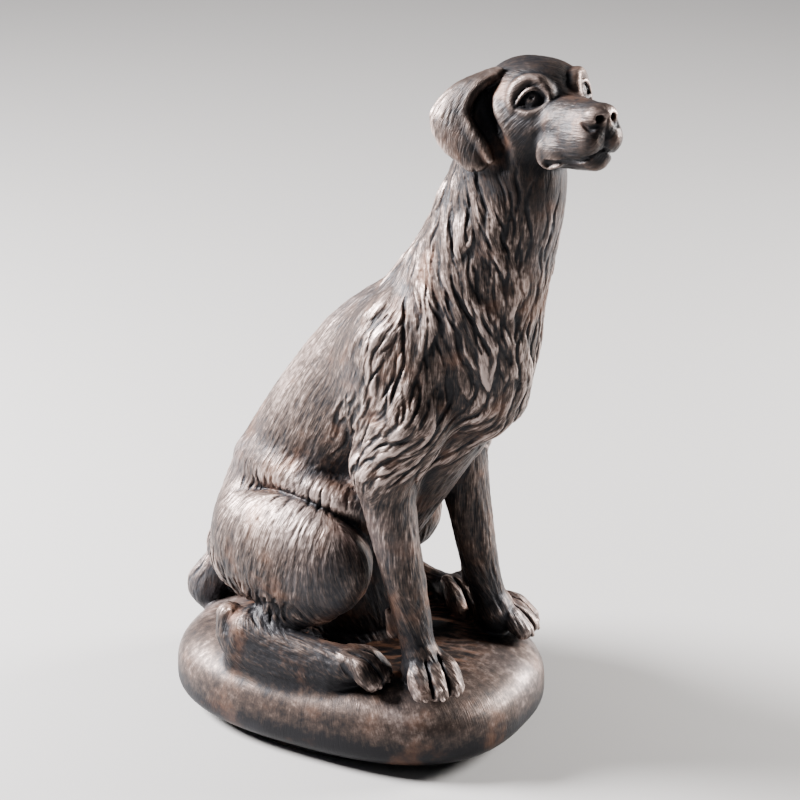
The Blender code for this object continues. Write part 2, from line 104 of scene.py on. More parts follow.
# A tube along a curve with its own half-width at each point: the distance to the nearest
# stretch, less the half-width there. Given a side direction, it is wide along it and deep
# across it. Each stretch is worked out only as far as pad around it.
def tube(points, wide, deep=None, side=None, count=6):
    deep = wide if deep is None else deep
    rows = spline(np.column_stack([points, wide, deep]), count)
    rows[:, 3:] = np.maximum(rows[:, 3:], 0.2)
    reach = rows[:, 3:].max(1)[:, None]
    low, high = (rows[:, :3] - reach).min(0), (rows[:, :3] + reach).max(0)

    def distance(x, y, z, pad):
        best = np.full((x.size, y.size, z.size), 1000.0)
        for a, b in zip(rows, rows[1:]):
            far = max(a[3:].max(), b[3:].max()) + pad
            ends = zip(np.minimum(a, b)[:3] - far, np.maximum(a, b)[:3] + far)
            cut = tuple(slice(*np.searchsorted(q.ravel(), e)) for q, e in zip((x, y, z), ends))
            p = [x[cut[0]] - a[0], y[:, cut[1]] - a[1], z[:, :, cut[2]] - a[2]]
            along = b[:3] - a[:3]
            h = sum(p[i] * along[i] for i in range(3)) / max(along @ along, 1e-9)
            h = np.clip(h, 0, 1)
            p = [p[i] - h * along[i] for i in range(3)]
            w = a[3] + h * (b[3] - a[3])
            gap = np.sqrt(p[0] ** 2 + p[1] ** 2 + p[2] ** 2)
            if side is None:
                d = gap - w
            else:
                v = a[4] + h * (b[4] - a[4])
                s = sum(p[i] * side[i] for i in range(3))
                r = np.sqrt(np.maximum(gap**2 - s**2, 0))
                k = np.sqrt((s / w) ** 2 + (r / v) ** 2)
                d = (k - 1) * np.minimum(w, v)
            best[cut] = np.minimum(best[cut], d)
        return best

    return low, high, distance


# The largest joined part of a skin: each point takes the lowest name in its faces until no
# name changes, and the most used name is kept
def outerSkin(points, quads):
    name = np.arange(len(points))
    while True:
        lowest = name[quads].min(1)
        new = name.copy()
        np.minimum.at(new, quads.ravel(), np.repeat(lowest, 4))
        new = new[new]
        if (new == name).all():
            break
        name = new
    kept = name == np.bincount(name).argmax()
    order = np.cumsum(kept) - 1
    return points[kept], order[quads[kept[quads[:, 0]]]]


# A grid's value at places inside its cells: the mean of each cell's eight corners, weighed by
# the part of the cell that lies on the far side of the place
def eightCorners(grid, first, part):
    total = 0
    for corner in np.ndindex(2, 2, 2):
        share = 1
        for i in range(3):
            share = share * (part[i] if corner[i] else 1 - part[i])
        i, j, k = (first[n] + corner[n] for n in range(3))
        total = total + share * grid[i, j, k]
    return total


# A block of clay: the distance to its surface at each point of a grid, negative inside
class Clay:
    def __init__(self, low, high, step):
        self.step = step
        self.axes = [np.arange(a, b + step, step) for a, b in zip(low, high)]
        self.field = np.full([len(a) for a in self.axes], 40.0, np.float32)

    # Joins a form: the smaller of the two distances, rounded over the width called soft
    def add(self, form, soft=8.0):
        cut, new = self.around(form, soft + 3 * self.step)
        old = self.field[cut]
        h = np.maximum(soft - np.abs(new - old), 0) / soft
        self.field[cut] = np.minimum(new, old) - h**2 * soft / 4

    # Takes a form out: the larger of the old distance and the form's turned round
    def cut(self, form, soft=2.0):
        cut, new = self.around(form, soft + 3 * self.step)
        old = self.field[cut]
        h = np.maximum(soft - np.abs(-new - old), 0) / soft
        self.field[cut] = np.maximum(-new, old) + h**2 * soft / 4

    # The grid's slices around a form, and the form's distances there
    def around(self, form, pad):
        low, high, distance = form
        ends = zip(low - pad, high + pad)
        cut = tuple(slice(*np.searchsorted(a, e)) for a, e in zip(self.axes, ends))
        x, y, z = (a[c] for a, c in zip(self.axes, cut))
        return cut, distance(x[:, None, None], y[None, :, None], z[None, None, :], pad)

    def cutBelow(self, height):
        z = self.axes[2][None, None, :]
        self.field = np.maximum(self.field, height - z).astype(np.float32)

    # The distance at each point
    def read(self, points):
        spots = [(points[:, i] - a[0]) / self.step for i, a in enumerate(self.axes)]
        first = [np.clip(q.astype(int), 0, len(a) - 2) for q, a in zip(spots, self.axes)]
        return eightCorners(self.field, first, [q - i for q, i in zip(spots, first)])

    # The direction straight out of the clay: the slope of the distance
    def outward(self, points, reach=4.0):
        steps = reach * np.eye(3)
        slope = np.column_stack([self.read(points + d) - self.read(points - d) for d in steps])
        return unit(slope)

    # The skin of the clay as points and four-sided faces
    def skin(self):
        grid = openvdb.FloatGrid(40.0)
        grid.copyFromArray(self.field)
        points, quads = grid.convertToQuads(0.0)
        places = [np.interp(points[:, i], np.arange(len(a)), a) for i, a in enumerate(self.axes)]
        return outerSkin(np.column_stack(places), quads)

    # Halves each cell: a point between two is (9 * the near two - the far two) / 16
    def finer(self):
        field = self.field
        for axis in range(3):
            old = np.moveaxis(field, axis, 0)
            wide = np.concatenate([old[:1], old, old[-1:]])
            new = np.empty((2 * len(old) - 1,) + old.shape[1:], np.float32)
            new[::2] = old
            new[1::2] = (9 * (wide[1:-2] + wide[2:-1]) - wide[:-3] - wide[3:]) / 16
            field = np.moveaxis(new, 0, axis)
        self.field = np.ascontiguousarray(field)
        self.step = self.step / 2
        self.axes = [a[0] + self.step * np.arange(n) for a, n in zip(self.axes, self.field.shape)]

    # A copy where each distance is the mean over a cube of the given half-width. On the skin
    # it is above nothing on a ridge and below nothing in a hollow.
    def blurred(self, reach):
        n = max(1, round(reach / self.step))
        field = np.clip(self.field, -2 * reach, 2 * reach)
        for axis in range(3):
            old = np.moveaxis(field, axis, 0)
            wide = np.concatenate([old[:1]] * (n + 1) + [old] + [old[-1:]] * n)
            total = np.cumsum(wide, 0, dtype=np.float32)
            field = np.moveaxis((total[2 * n + 1:] - total[: -2 * n - 1]) / (2 * n + 1), 0, axis)
        copy = Clay.__new__(Clay)
        copy.step, copy.axes, copy.field = self.step, self.axes, field.astype(np.float32)
        return copy


stone = {"length": 332.0, "width": 245.0, "top": 80.0, "widest": 27.6, "lower": 30.0, "at": (-5.6, -1.5),
         "turn": 7.0, "roundness": 3.17, "corners": 2.61}


# How far each place lies across and along the stone's turned middle, in half widths and half
# lengths of an oval
def onOval(oval, x, y):
    turn = radians(stone["turn"])
    dx, dy = x - stone["at"][0], y - stone["at"][1]
    u = (cos(turn) * dx + sin(turn) * dy) * 2 / oval["width"]
    v = (cos(turn) * dy - sin(turn) * dx) * 2 / oval["length"]
    return np.abs(u), np.abs(v)


# The low and high corners of the box round an oval, up to a height
def ovalBox(oval, top):
    middle, reach = np.array(stone["at"]), np.array([oval["width"], oval["length"]]) / 1.8
    return np.append(middle - reach, 0), np.append(middle + reach, top)


# The stone: the sum of |across|^corners and |along|^corners gives its oval, and the oval and
# the height, each raised to roundness, give its rounded side, widest at the height called widest
def pebble():
    top, widest = stone["top"], stone["widest"]

    def distance(x, y, z, pad):
        u, v = onOval(stone, x, y)
        oval = (u ** stone["corners"] + v ** stone["corners"]) ** (1 / stone["corners"])
        half = np.where(z > widest, top - widest, stone["lower"])
        high = np.abs(z - widest) / half
        k = (oval ** stone["roundness"] + high ** stone["roundness"]) ** (1 / stone["roundness"])
        return (k - 1) * (top - widest)

    return *ovalBox(stone, top), distance


dog = {"headTurn": 27.5, "headLift": 17.0, "eyesAt": (1.0, -194.0, 610.0), "eyeAside": 24,
       "eyeTurn": (0.5, 0.866)}  # sine and cosine of the angle by which each eye looks outward
right, left = -1, 1  # the dog's own sides: its right is -X


# The head's forward, left and up directions, from its turn to the right and its lift
def headWays():
    turn, lift = radians(dog["headTurn"]), radians(dog["headLift"])
    forward = np.array([-sin(turn) * cos(lift), -cos(turn) * cos(lift), sin(lift)])
    across = np.array([cos(turn), -sin(turn), 0.0])
    return forward, across, np.cross(forward, across)


# A place on the head, so many millimetres forward, left and up of the point between the eyes
def onHead(f, l, u):
    forward, across, up = headWays()
    return np.array(dog["eyesAt"]) + f * forward + l * across + u * up


# A path on the head. With a side, its places are given for the left one.
def alongHead(places, side=1):
    return [onHead(f, side * l, u) for f, l, u in places]


# A place on an eye: a runs along the eye towards the ear, b up and d out of the face
def onEye(side, a, b, d):
    s, c = dog["eyeTurn"]
    return onHead(-s * a + c * d, side * (dog["eyeAside"] + c * a + s * d), b)


def modelBody(clay):
    x = (1.0, 0.0, 0.0)
    spine = [(0, 108, 128), (0, 78, 200), (0, 30, 268), (0, -28, 325), (0, -82, 378)]
    spine += [(0, -117, 430), (0, -137, 482), (0, -150, 530), (-3, -154, 575)]
    wide = [60, 62, 61, 61, 58, 51, 44, 38, 32]
    deep = [46, 52, 59, 71, 65, 61, 55, 50, 40]
    clay.add(tube(spine, wide, deep, x, 10), 10)
    clay.add(blob((0, -122, 374), (44, 49, 84)), 26)
    clay.add(tube([(0, -80, 290), (0, -20, 205), (0, 40, 120)], [42, 46, 50]), 20)
    clay.add(blob((-6, 2, 108), (46, 46, 60)), 16)


def modelHaunch(clay, side):
    roll = [(side * 42, 92, 234), (side * 60, 40, 236), (side * 59, -12, 226), (side * 46, -36, 212)]
    clay.add(tube(roll, [8, 13, 12, 8]), 20)
    back = 0 if side == right else 21
    clay.add(blob((side * 72, 22 + back, 166), (37, 76, 58)), 2)
    clay.add(blob((side * 60, back - 14, 168), (28, 34, 34)), 12)
    clay.add(blob((side * 48, 78, 160), (44, 42, 60)), 16)
    clay.add(tube([(side * 78, back - 10, 128), (side * 96, 56, 98)], [15, 14]), 8)
    foot = [(side * 102, 50, 98), (side * 98, 2, 91), (side * 90, -46, 87)]
    if side == left:
        foot = [(100, 50, 95), (93, 2, 85), (88, -46, 82)]
    clay.add(tube(foot, [18, 16, 16] if side == right else [16, 11, 12]), 7)
    clay.add(tube([(side * 102, 70, 106), (side * 104, 66, 92)], [12, 15]), 3)


def modelForeleg(clay, side):
    splay = 3 if side == left else 0
    clay.add(blob((side * 48, -68, 350), (29, 46, 66)), 24)
    clay.add(tube([(side * 50, -92, 325), (side * 57, -66, 270)], [31, 27]), 16)
    leg = [(side * 56, -62, 268), (side * 55, -74, 210), (side * 53 + splay / 2, -88, 148)]
    leg += [(side * 54 + splay, -97, 112), (side * 56 + splay, -104, 96)]
    clay.add(tube(leg, [26, 21, 17, 15, 17]), 12)
    heel = [(side * 58 + splay / 2, -72, 132), (side * 58 + splay / 2, -76, 116)]
    clay.add(tube(heel, [5, 7]), 4)


# Each paw on the stone: its heel, its toe tips and its size
paws = [
    ((-37, -83, 80), (-71, -133, 76), 1.0),
    ((59, -80, 80), (77, -122, 76), 1.0),
    ((-93, -26, 80), (-80, -76, 78), 0.92),
    ((92, -25, 80), (72, -72, 78), 0.92),
]


# A place on a paw, so far forward, aside and up of its middle at its full size
def onPaw(paw, forward, aside, up):
    heel, toe = (np.array(place, float) for place in paw[:2])
    ahead = (toe - heel) / np.linalg.norm(toe - heel)
    across = np.array([-ahead[1], ahead[0], 0.0])
    return (heel + toe) / 2 + (ahead * forward + across * aside + np.array([0, 0, up])) * paw[2]


# A path on a paw, or its like on another toe: each place goes aside i times as far
def alongPaw(paw, i, places):
    return [onPaw(paw, f, a * i, u) for f, a, u in places]


# A paw is a low round with four toes
def modelPaw(clay, paw):
    size = paw[2]
    clay.add(blob(onPaw(paw, 0, 0, 8), (19 * size, 23 * size, 13 * size)), 8)
    for i in (-1.5, -0.5, 0.5, 1.5):
        reach = 31 - 3.5 * abs(i)
        toes = alongPaw(paw, i, [(-6, 6.5, 19), (12, 9.5, 15), (reach - 8, 11, 9), (reach, 11.3, 2)])
        clay.add(tube(toes, np.array([6, 7.9, 7.9, 6.6]) * size), 2)


def modelTail(clay):
    tail = [(-6, 118, 136), (-11, 142, 106), (-16, 166, 74), (-2, 162, 60), (40, 146, 64)]
    tail.append((70, 126, 72))
    clay.add(tube(tail, [18, 16, 17, 15, 12, 8]), 8)


# The skull, the deep square muzzle with its hanging lips, and the chin
def modelHead(clay):
    axes = np.array(headWays())
    across = axes[1]
    clay.add(blob(onHead(-50, 0, -6), (52, 37, 37), axes), 12)
    clay.add(blob(onHead(-22, 0, 1), (30, 34, 25), axes), 10)
    bridge = alongHead([(-12, 0, -20), (20, 0, -23), (52, 0, -25)])
    clay.add(tube(bridge, [28, 23, 17], [21, 20, 17], across), 10)
    jaw = alongHead([(-24, 0, -44), (12, 0, -51), (46, 0, -54)])
    clay.add(tube(jaw, [22, 15, 11.5], [14, 10, 8.5], across), 3)
    clay.add(blob(onHead(62, 0, -19), (12, 14, 10), axes), 3)
    for side in (right, left):
        clay.add(blob(onHead(-26, side * 22, -22), (26, 15, 26), axes), 10)
        clay.add(blob(onHead(37, side * 9.5, -37), (31, 14, 16), axes), 8)
        clay.add(blob(onHead(14, side * 19, -43), (18, 10, 13), axes), 6)
    for side in (right, left):
        modelEye(clay, side)
        mouth = alongHead([(64, 0, -50), (58, 12, -53), (42, 20, -56), (18, 27, -56)], side)
        clay.cut(tube(layOn(clay, mouth, -0.5), [1.8, 1.8, 2.0, 2.6]), 1)
    modelEars(clay)


# The given places moved onto the surface of the clay, then lifted out of it
def layOn(clay, places, lift):
    spots = np.array(places, float)
    for again in range(3):
        out = clay.outward(spots)
        spots = spots - out * clay.read(spots)[:, None]
    return spots + out * np.reshape(lift, (-1, 1))


# The raised round of the eye: a heavy fold over the ball, a bag under it, and the hollow between
def modelEye(clay, side):
    fold = [(19, -6, 0), (20, 3, 0), (15, 12, 0), (6, 16, 0), (-3, 15, 0), (-9.5, 9.5, 0)]
    fold += [(-12.5, 0, 0), (-13, -8, 0)]
    fold = layOn(clay, [onEye(side, *p) for p in fold], [-1.5, -1.5, -0.8, 0.3, 1, 1, 0, -1.5])
    bag = [(-13, -8, 0), (-6, -13, 0), (3, -13, 0), (11, -10, 0)]
    bag = layOn(clay, [onEye(side, *p) for p in bag], -1.5)
    socket = [(11, -4, 0), (0, -1.5, 0), (-10, -4, 0)]
    socket = layOn(clay, [onEye(side, *p) for p in socket], [2, 1, 2])
    ball = layOn(clay, [onEye(side, 0, -0.8, 0)], -10)[0]
    clay.add(tube(fold, [2.5, 4, 5, 5, 4.2, 3.2, 2.8, 2.2]), 5)
    clay.add(tube(bag, [2.2, 3, 3.2, 2.2]), 4)
    clay.cut(tube(socket, [3.5, 8, 3.5]), 2.5)
    clay.add(blob(ball, (10, 10, 10)), 1)


# Folded ears: each leaves the skull on a ridge and hangs to a round tip. The head is turned,
# so the right ear rests out on the neck and the left one lies along the cheek.
def modelEars(clay):
    forward, across = headWays()[:2]
    flap = alongHead([(-40, -33, 21), (-51, -54, 12), (-58, -69, -7), (-51, -67, -29), (-43, -60, -49)])
    facing = 0.83 * forward + 0.56 * across
    clay.add(tube(flap, [10, 16, 18, 19, 11], [5, 6, 7, 7, 6], facing, 14), 2)
    hollow = alongHead([(-34, -38, 14), (-38, -46, 4), (-36, -48, -10), (-27, -46, -28),
                        (-23, -45, -44), (-24, -46, -54)])
    clay.cut(tube(hollow, [2, 6, 7.5, 6, 4, 2]), 8)
    edge = alongHead([(-36, -34, 19), (-43, -51, 10), (-46, -61, -6), (-40, -60, -20), (-33, -56, -34),
                      (-30, -53, -46)])
    clay.add(tube(edge, [4, 4.5, 4.5, 4.5, 4.5, 3]), 3)

    flap = alongHead([(-48, 29, 12), (-57, 40, 6), (-61, 47, -9), (-58, 46, -31), (-50, 42, -50)])
    facing = 0.95 * forward - 0.3 * across
    clay.add(tube(flap, [9, 16, 21, 19, 11], [5, 7, 8, 8, 6], facing, 14), 2)
    hollow = alongHead([(-34, 38, 2), (-36, 39, -18), (-36, 36, -44)])
    clay.cut(tube(hollow, [3, 4, 4]), 4)


rim = {"length": 290.0, "width": 212.0, "height": 8.0, "sunk": 6.0}


# The low oval rim under the stone: the largest of three distances, which are the one out of an
# oval, (its length - 1) * half its width, the one under the floor and the one over its top
def rimForm():
    def distance(x, y, z, pad):
        u, v = onOval(rim, x, y)
        side = (np.sqrt(u**2 + v**2) - 1) * rim["width"] / 2
        return np.maximum(np.maximum(side, -z), z - rim["height"] - rim["sunk"])

    return *ovalBox(rim, rim["height"] + rim["sunk"]), distance


# The statue's smooth forms, without its locks of fur
def blockIn(step):
    clay = Clay((-140, -300, -6), (140, 200, 670), step)
    clay.add(pebble(), 1)
    clay.cutBelow(rim["height"] - 2)
    modelBody(clay)
    for side in (right, left):
        modelForeleg(clay, side)
        modelHaunch(clay, side)
    modelTail(clay)
    for paw in paws:
        modelPaw(clay, paw)
    modelHead(clay)
    return clay


# How the coat lies: a place on the right side, and the way the hair runs there
comb = [
    ((0, -150, 648), (0.4, 0.9, 0.1)),  # skull
    ((-35, -180, 585), (-0.1, 0.6, -0.7)),  # cheek
    ((-30, -240, 590), (0.3, 0.9, -0.2)),  # muzzle
    ((-70, -140, 590), (0, 0, -1)),  # ear
    ((-10, -185, 520), (0, 0.1, -1)),  # throat
    ((-38, -150, 520), (0, -0.35, -1)),  # side of the neck
    ((0, -85, 490), (0, 0.2, -1)),  # nape
    ((-48, -115, 440), (0, -0.45, -1)),  # root of the neck
    ((-45, -150, 390), (0.1, -0.35, -1)),  # side of the chest
    ((0, -178, 390), (0, 0.1, -1)),  # breast
    ((0, -165, 310), (0, 0.5, -1)),  # under the breast
    ((-38, -135, 300), (-0.5, 0.7, -0.6)),  # behind the breast
    ((-68, -90, 295), (-0.3, 0.9, -0.45)),  # upper arm
    ((-62, -60, 390), (-0.3, 0.3, -1)),  # shoulder blade
    ((-70, -25, 340), (-0.3, 0.6, -0.8)),  # behind the shoulder
    ((-60, -110, 360), (-0.25, -0.1, -1)),  # point of the shoulder
    ((-72, -50, 260), (0, 0.4, -1)),  # elbow
    ((-57, -80, 200), (0, 0, -1)),  # forearm
    ((-60, -110, 110), (0, -0.6, -0.8)),  # wrist
    ((0, -20, 410), (0, 0.6, -0.7)),  # withers
    ((0, 50, 320), (0, 0.7, -0.7)),  # back
    ((-64, 20, 280), (-0.1, 0.45, -0.9)),  # ribs
    ((-64, 50, 230), (0, 0.2, -1)),  # flank
    ((-95, 10, 205), (-0.3, 0.15, -1)),  # top of the thigh
    ((-108, 20, 150), (0, 0.3, -1)),  # thigh
    ((-90, -60, 150), (0.2, -0.3, -1)),  # knee
    ((0, 120, 190), (0, 0.4, -1)),  # rump
    ((-60, 95, 140), (-0.1, 0.15, -1)),  # buttock
    ((-100, 0, 90), (0.1, -1, -0.1)),  # hind foot
]

# Where it stands out in locks: centre and radii of the place on the right side, then the
# locks' length, width and spacing
fur = [
    ((0, -122, 488), (62, 60, 72), 66, 12, 17),  # neck
    ((-20, -116, 372), (74, 82, 86), 74, 14, 18),  # breast and shoulder
    ((-66, -62, 314), (34, 60, 42), 44, 12, 16),  # upper arm
    ((-70, 26, 232), (24, 58, 6), 26, 5, 10),  # fold over the thigh
    ((-98, 38, 134), (22, 44, 9), 18, 6, 10),  # lower edge of the thigh
    ((-50, 104, 132), (56, 42, 46), 48, 10, 15),  # buttock
    ((0, 158, 100), (24, 24, 44), 40, 10, 14),  # tail
]


# The way the hair runs at each point: the mean of the combed places, each weighed by its
# nearness to the fourth power, mirrored on the left side
def coatWay(points):
    mirrored = np.column_stack([-np.abs(points[:, 0]), points[:, 1:]])
    places, ways = (np.array(rows, float) for rows in zip(*comb))
    gap = ((mirrored[:, None] - places) ** 2).sum(2)
    share = 1 / (gap + 15**2) ** 2
    way = share @ ways / share.sum(1)[:, None]
    way[:, 0] *= np.clip(-points[:, 0] / 12, -1, 1)
    return way


# Points picked from the given ones so that no two are nearer than the spacing
def scatter(points, spacing, dice):
    kept = np.empty((0, 3))
    for p in points[dice.permutation(len(points))]:
        if not len(kept) or ((kept - p) ** 2).sum(1).min() > spacing**2:
            kept = np.vstack([kept, p])
    return kept


# Paths over the clay along its coat, one from each root, that swing a little from side to side
def combPaths(clay, roots, length, dice, swings, steps=7):
    spots, paths, outs = roots, [], []
    phase, bends = dice.uniform(0, 2 * pi, len(roots)), dice.uniform(1.3, 2.4, len(roots))
    stretch = (length * dice.uniform(0.7, 1.25, len(roots)) / steps)[:, None]
    for i in range(steps):
        out = clay.outward(spots)
        spots = spots - out * clay.read(spots)[:, None]
        way = coatWay(spots)
        way = unit(way - out * (way * out).sum(1)[:, None])
        swing = (swings * np.sin(phase + bends * pi * i / steps))[:, None]
        paths.append(spots)
        outs.append(out)
        spots = spots + (way * np.cos(swing) + np.cross(out, way) * np.sin(swing)) * stretch
    return np.stack(paths, 1), np.stack(outs, 1)


# The points of a skin that lie in an oval place, or in its mirror image
def inPlace(skin, centre, radii):
    mirrored = np.column_stack([-np.abs(skin[:, 0]), skin[:, 1:]])
    return (((mirrored - centre) / radii) ** 2).sum(1) < 1


# The locks of fur, each a path, the directions out and across along it, and a half-width
def planLocks(clay, skin, rows, seed, swings=0.5):
    dice = np.random.default_rng(seed)
    locks = []
    for centre, radii, length, width, spacing in rows:
        roots = scatter(skin[inPlace(skin, centre, radii)], spacing, dice)
        paths, outs = combPaths(clay, roots, length, dice, swings)
        for path, out in zip(paths, outs):
            across = unit(np.cross(out, np.gradient(path, axis=0)))
            locks.append((path, out, across, width * dice.uniform(0.65, 1.3) / 2))
    return locks


# A lock is a flat tapered tube with its root sunk in the clay and its tip over the next root
def lockForm(path, out, across, size):
    rise = size * np.array([-0.7, -0.3, -0.1, 0.1, 0.2, 0.2, 0.1])
    wide = size * np.array([0.4, 0.75, 1.0, 1.0, 0.8, 0.5, 0.15])
    return tube(path + out * rise[:, None], wide, wide * 0.7, across[3], 2)


# What only the finished surface has: lids round each ball, the pupil, the nostrils, the groove
# under the nose and the curled corner of the lips
def carveFace(clay):
    for side in (right, left):
        upper = [(15, -7.5), (8.5, 1.5), (0.5, 6.3), (-7.5, 3.5), (-12.5, -5.5)]
        lower = [(15, -7.5), (8, -6.5), (0, -8.2), (-8, -7.2), (-12.5, -5.5)]
        upper = onLids(side, upper, [-0.5, 2.0, 3.6, 2.8, -0.5])
        lower = onLids(side, lower, [-0.5, 0.8, 1.8, 1.4, -0.5])
        ball = layOn(clay, [onEye(side, 0, -0.8, 0)], -9)[0]
        clay.add(blob(ball, (10, 10, 10)), 0.6)
        clay.add(tube(upper, [0.9, 1.6, 1.8, 1.5, 0.9]), 0.8)
        clay.add(tube(lower, [0.8, 1.2, 1.3, 1.1, 0.8]), 0.8)
        pupil = layOn(clay, [onEye(side, 0, -0.5, 0)], 0.6)[0]
        clay.cut(blob(pupil, (2.2, 2.2, 2.2)), 0.5)
        crease = layOn(clay, [onEye(side, a, b, 0) for a, b in ((-9, 15), (-14, 6), (-15, -2))], -3)
        clay.add(tube(crease, [3, 4, 3]), 5)
        clay.cut(tube(alongHead([(76, 6, -21), (66, 6, -20)], side), [3.6, 2.8]), 0.8)
        comma = alongHead([(74, 7.5, -25), (67, 13, -28), (59, 15, -23)], side)
        clay.cut(tube(layOn(clay, comma, 0.2), [2.0, 2.2, 1.2]), 1)
        flap = alongHead([(8, 30, -38), (5, 30, -50), (9, 28, -61), (20, 24, -64)], side)
        clay.add(tube(layOn(clay, flap, [-2, -1, -0.6, -2]), [2.2, 3.8, 3.8, 2]), 5)
        corner = alongHead([(15, 30, -56), (25, 26, -57), (36, 22, -57)], side)
        clay.cut(tube(layOn(clay, corner, 0.3), [4, 3, 1.4]), 1.5)
        lips = alongHead([(62, 8, -52), (48, 17, -55), (36, 22, -56)], side)
        clay.cut(tube(layOn(clay, lips, -0.4), [1.2, 1.5, 1.4]), 1)
    seam = alongHead([(77, 0, -22), (70, 0, -32), (66, 0, -44)])
    clay.cut(tube(layOn(clay, seam, 0.2), [1.0, 1.3, 1.0]), 1)


# Places on an eye so far out from where its ball stands
def onLids(side, places, out):
    return [onEye(side, a, b, d - 2.6) for (a, b), d in zip(places, out)]


# Where the chisel has parted the hair: centre and radii of the place on the right side, then
# the cuts' length, width and spacing
partings = [
    ((0, -138, 490), (66, 72, 88), 48, 2.1, 14.5),  # neck and throat
    ((-20, -122, 372), (74, 74, 84), 50, 2.3, 14.5),  # breast and shoulder
    ((-66, -66, 308), (34, 46, 46), 34, 2.4, 11),  # upper arm
    ((-70, 22, 230), (28, 66, 8), 20, 1.8, 8.5),  # fold over the thigh
    ((-98, 38, 130), (24, 52, 14), 18, 2.2, 8),  # lower edge of the thigh
    ((-50, 104, 132), (56, 42, 48), 30, 2.4, 10),  # buttock
    ((0, 158, 100), (24, 24, 44), 26, 2.4, 10),  # tail
]


# The finer strands that a large lock is made of: thin tubes side by side along it, each a
# little apart from the last one and swinging with it
def strandForms(path, out, across, size, dice):
    strands = []
    rise = size * np.array([-0.4, -0.1, 0.1, 0.22, 0.26, 0.2, 0.0])
    spread = size * np.array([0.5, 0.8, 0.95, 0.95, 0.8, 0.5, 0.15])
    steps = np.arange(len(path))
    for place in (-1.0, -0.5, 0.0, 0.5, 1.0):
        sway = 0.16 * np.sin(dice.uniform(0, 2 * pi) + 0.9 * steps)
        aside = spread * (place + dice.uniform(-0.16, 0.16) + sway)
        lift = rise * (1 - 0.5 * place**2) * dice.uniform(0.5, 1.4)
        line = path + out * lift[:, None] + across * aside[:, None]
        wide = size * dice.uniform(0.17, 0.27) * np.array([0.5, 0.8, 1, 1, 0.9, 0.8, 0.5])
        strands.append(tube(line, wide, count=3))
    return strands


# A parting is a narrow cut that swells in the middle
def partingForm(path, across, size):
    wide = size * np.array([0.35, 0.7, 0.95, 1.0, 0.85, 0.6, 0.35])
    return tube(path, wide, wide * 1.5, across[3], 5)


# Three thick toes lie over the solid's four, as the photo shows them, each with a claw. The right
# hind foot is broadened down to the stone.
def carvePaws(clay):
    for paw in paws:
        size = paw[2]
        across = (onPaw(paw, 0, 1, 0) - onPaw(paw, 0, 0, 0)) / size
        for i in (-1, 0, 1):
            reach = 30 - 3 * abs(i)
            toe = alongPaw(paw, i, [(-2, 8, 18), (12, 12, 14), (reach - 8, 14, 9), (reach, 14.5, 3.5)])
            clay.add(tube(toe, np.array([6, 9, 9.2, 7.8]) * size), 3)
            claw = alongPaw(paw, i, [(reach + 4, 14.5, 4), (reach + 7.5, 14.6, 0)])
            clay.add(tube(claw, np.array([2.8, 1.9]) * size), 1.5)
        for i in (-0.5, 0.5):
            gap = alongPaw(paw, i, [(2, 12, 25), (14, 13.5, 21), (25, 14.6, 14), (35, 15, 4)])
            wide, deep = np.array([0.5, 0.9, 1.1, 1.1]), np.array([1.2, 3.2, 5, 5])
            clay.cut(tube(gap, wide * size, deep * size, across, 4), 2.4)
    foot = [(-105, 54, 80), (-101, 4, 76), (-93, -36, 76)]
    clay.add(tube(foot, [18, 17, 15], [15, 14, 12], (1.0, 0.0, 0.0), 8), 12)


# The seeds of the random draws, how softly each form joins, and how the partings swing
carving = {
    "lockSeed": 5,
    "strandSeed": 11,
    "partingSeed": 6,
    "lockSoft": 2.5,
    "strandSoft": 1.5,
    "partingSoft": 1.6,
    "rimSoft": 0.5,
    "partingSwing": 0.3,
}


# The whole statue in fine clay, with the paths of all its locks
def sculpt():
    clay = blockIn(finish["step"] * 2)
    clay.finer()
    say("smooth forms on a grid of %d x %d x %d" % clay.field.shape)
    carveFace(clay)
    carvePaws(clay)
    block = blockIn(finish["planStep"])
    locks = planLocks(block, block.skin()[0], fur, carving["lockSeed"])
    locks = [lock for lock in locks if standsOut(lock)]
    dice = np.random.default_rng(carving["strandSeed"])
    for path, out, across, size in locks:
        path = path - out * size * dice.uniform(0.0, 0.45)
        block.add(lockForm(path, out, across, size), carving["strandSoft"])
        clay.add(lockForm(path - out * size * 0.2, out, across, size), carving["lockSoft"])
        for strand in strandForms(path, out, across, size, dice):
            clay.add(strand, carving["strandSoft"])
    say("%d large locks of fur" % len(locks))
    cuts = planLocks(clay, block.skin()[0], partings, carving["partingSeed"], carving["partingSwing"])
    for path, out, across, size in cuts:
        clay.cut(partingForm(path, across, size), carving["partingSoft"])
    clay.add(rimForm(), carving["rimSoft"])
    say("%d partings" % len(cuts))
    return clay, locks + cuts


# The locks that are modelled: the small ones, and those behind the shoulder, are only cut in
def standsOut(lock):
    root, size = lock[0][0], lock[3]
    return size > 3.2 and not (root[1] > -48 and root[2] > 270)


# A soft random number at each point: numbers on a grid of cells that repeats, read with
# smoothed steps between them
def grain(points, cell, seed):
    box = np.pad(np.random.default_rng(seed).random((32, 32, 32)), (0, 1), "wrap")
    spots = (points / cell).T
    first = np.floor(spots).astype(int)
    part = spots - first
    return eightCorners(box, first % 32, part * part * (3 - 2 * part))


# Strokes of hair: the mean of the grain along a stretch of the hair's way through each point,
# less the mean of all, over their spread
def strokes(points, ways, length, cell, seed):
    steps = np.linspace(-0.5, 0.5, 11) * length
    total = sum(grain(points + ways * t, cell, seed) for t in steps)
    return (total - total.mean()) / total.std()


# The coarse grid that spreads the locks' directions, and their strength against the comb's
spread = {"cell": 6.0, "low": (-150.0, -310.0, -10.0), "size": (52, 88, 116), "strength": 12}


